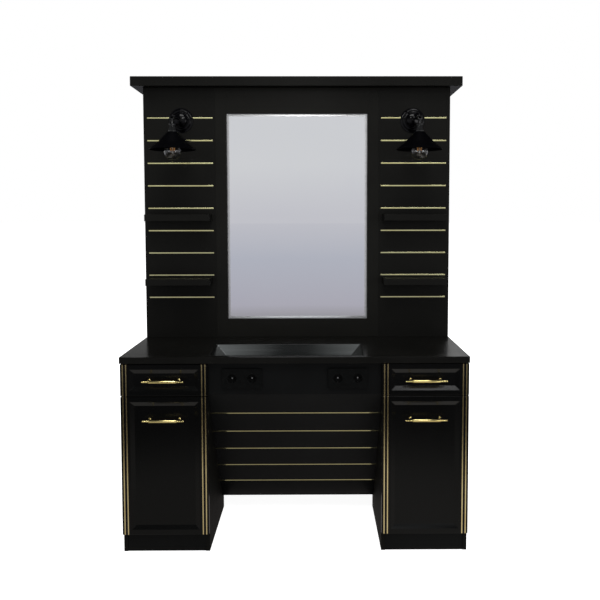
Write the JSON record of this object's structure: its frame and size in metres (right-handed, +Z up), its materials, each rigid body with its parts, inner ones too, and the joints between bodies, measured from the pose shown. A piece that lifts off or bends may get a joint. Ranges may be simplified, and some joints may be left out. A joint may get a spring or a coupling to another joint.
{
  "type": "double sided salon station",
  "caption": "Double sided salon station: mirrors back to back in a tower over a worktop with tool trays, drawers, pull-outs, knee spaces, sockets, shelves and jointed lamps.",
  "frame": {"origin": "centre of the footprint, on the floor", "axes": "+Z up, X along the worktop, -Y out of the front working side and +Y out of the rear one"},
  "size_m": [1.6, 1.2544, 2.138],
  "materials": {
    "black_board": "satin black laminate on board",
    "slat_board": "satin black laminate on board",
    "frame_board": "semi-gloss black laminate on board",
    "crown_board": "satin black laminate, soft sheen",
    "shelf_board": "satin black laminate on board",
    "knee_board": "satin black laminate on board",
    "front_board": "semi-gloss black lacquer",
    "carcass_board": "matt black melamine",
    "box_board": "clear lacquered birch",
    "worktop": "smooth black laminate worktop",
    "brass": "satin gilt",
    "runner_steel": "zinc plated",
    "tray_steel": "brushed stainless steel",
    "mirror_glass": "silvered, ground edge",
    "lamp_metal": "satin black enamel",
    "bulb_glass": "clear globe",
    "socket_plastic": "glossy black",
    "black_plastic": "matt black"
  },
  "bodies": {
    "station": {"aprons": "black_board", "brass_inlays": "brass", "cable_gland": "black_plastic", "carcass_runners": "runner_steel", "countertop": "worktop", "crown": "crown_board", "knee_panels": "knee_board", "lamp_canopies": "lamp_metal", "levelling_glides": "black_plastic", "mirror_frames": "frame_board", "mirrors": "mirror_glass", "pedestal_panels": "carcass_board", "pedestal_sides": "black_board", "plinths": "black_board", "shelf_rods": "runner_steel", "shelves": "shelf_board", "slat_panels": "slat_board", "socket_frames": "socket_plastic", "socket_inserts": "socket_plastic", "spine_boards": "carcass_board", "tool_trays": "tray_steel", "tower_core": "carcass_board", "tower_sides": "black_board"},
    "drawer_front_left": {"drawer_front_front_left": "front_board", "drawer_box_front_left": "box_board", "drawer_brass_front_left": "brass"},
    "pullout_front_left": {"pullout_front_front_left": "front_board", "pullout_box_front_left": "box_board", "pullout_brass_front_left": "brass"},
    "lamp_arm_front_left": {"lamp_arm_front_left": "lamp_metal"},
    "lamp_shade_front_left": {"lamp_shade_front_left": "lamp_metal", "lamp_bulb_front_left": "bulb_glass"},
    "drawer_front_right": {"drawer_front_front_right": "front_board", "drawer_box_front_right": "box_board", "drawer_brass_front_right": "brass"},
    "pullout_front_right": {"pullout_front_front_right": "front_board", "pullout_box_front_right": "box_board", "pullout_brass_front_right": "brass"},
    "lamp_arm_front_right": {"lamp_arm_front_right": "lamp_metal"},
    "lamp_shade_front_right": {"lamp_shade_front_right": "lamp_metal", "lamp_bulb_front_right": "bulb_glass"},
    "drawer_rear_left": {"drawer_front_rear_left": "front_board", "drawer_box_rear_left": "box_board", "drawer_brass_rear_left": "brass"},
    "pullout_rear_left": {"pullout_front_rear_left": "front_board", "pullout_box_rear_left": "box_board", "pullout_brass_rear_left": "brass"},
    "lamp_arm_rear_left": {"lamp_arm_rear_left": "lamp_metal"},
    "lamp_shade_rear_left": {"lamp_shade_rear_left": "lamp_metal", "lamp_bulb_rear_left": "bulb_glass"},
    "drawer_rear_right": {"drawer_front_rear_right": "front_board", "drawer_box_rear_right": "box_board", "drawer_brass_rear_right": "brass"},
    "pullout_rear_right": {"pullout_front_rear_right": "front_board", "pullout_box_rear_right": "box_board", "pullout_brass_rear_right": "brass"},
    "lamp_arm_rear_right": {"lamp_arm_rear_right": "lamp_metal"},
    "lamp_shade_rear_right": {"lamp_shade_rear_right": "lamp_metal", "lamp_bulb_rear_right": "bulb_glass"}
  },
  "joints": [
    {"name": "drawer_front_left_slide", "type": "slide", "parent": "station", "child": "drawer_front_left", "axis": [0, -1, 0], "range_m": [0, 0.3]},
    {"name": "pullout_front_left_slide", "type": "slide", "parent": "station", "child": "pullout_front_left", "axis": [0, -1, 0], "range_m": [0, 0.3]},
    {"name": "lamp_arm_front_left_swivel", "type": "hinge", "parent": "station", "child": "lamp_arm_front_left", "pos_m": [-0.566, -0.14, 1.933], "axis": [0, 0, 1], "range_deg": [-23.5, 36.5]},
    {"name": "lamp_shade_front_left_tilt", "type": "hinge", "parent": "lamp_arm_front_left", "child": "lamp_shade_front_left", "pos_m": [-0.57868, -0.25128, 1.933], "axis": [-0.9936, 0.1132, 0], "range_deg": [-10, 70]},
    {"name": "drawer_front_right_slide", "type": "slide", "parent": "station", "child": "drawer_front_right", "axis": [0, -1, 0], "range_m": [0, 0.3]},
    {"name": "pullout_front_right_slide", "type": "slide", "parent": "station", "child": "pullout_front_right", "axis": [0, -1, 0], "range_m": [0, 0.3]},
    {"name": "lamp_arm_front_right_swivel", "type": "hinge", "parent": "station", "child": "lamp_arm_front_right", "pos_m": [0.566, -0.14, 1.933], "axis": [0, 0, 1], "range_deg": [-36.5, 23.5]},
    {"name": "lamp_shade_front_right_tilt", "type": "hinge", "parent": "lamp_arm_front_right", "child": "lamp_shade_front_right", "pos_m": [0.57868, -0.25128, 1.933], "axis": [-0.9936, -0.1132, 0], "range_deg": [-10, 70]},
    {"name": "drawer_rear_left_slide", "type": "slide", "parent": "station", "child": "drawer_rear_left", "axis": [0, 1, 0], "range_m": [0, 0.3]},
    {"name": "pullout_rear_left_slide", "type": "slide", "parent": "station", "child": "pullout_rear_left", "axis": [0, 1, 0], "range_m": [0, 0.3]},
    {"name": "lamp_arm_rear_left_swivel", "type": "hinge", "parent": "station", "child": "lamp_arm_rear_left", "pos_m": [-0.566, 0.14, 1.933], "axis": [0, 0, 1], "range_deg": [-36.5, 23.5]},
    {"name": "lamp_shade_rear_left_tilt", "type": "hinge", "parent": "lamp_arm_rear_left", "child": "lamp_shade_rear_left", "pos_m": [-0.57868, 0.25128, 1.933], "axis": [0.9936, 0.1132, 0], "range_deg": [-10, 70]},
    {"name": "drawer_rear_right_slide", "type": "slide", "parent": "station", "child": "drawer_rear_right", "axis": [0, 1, 0], "range_m": [0, 0.3]},
    {"name": "pullout_rear_right_slide", "type": "slide", "parent": "station", "child": "pullout_rear_right", "axis": [0, 1, 0], "range_m": [0, 0.3]},
    {"name": "lamp_arm_rear_right_swivel", "type": "hinge", "parent": "station", "child": "lamp_arm_rear_right", "pos_m": [0.566, 0.14, 1.933], "axis": [0, 0, 1], "range_deg": [-23.5, 36.5]},
    {"name": "lamp_shade_rear_right_tilt", "type": "hinge", "parent": "lamp_arm_rear_right", "child": "lamp_shade_rear_right", "pos_m": [0.57868, 0.25128, 1.933], "axis": [0.9936, -0.1132, 0], "range_deg": [-10, 70]}
  ]
}
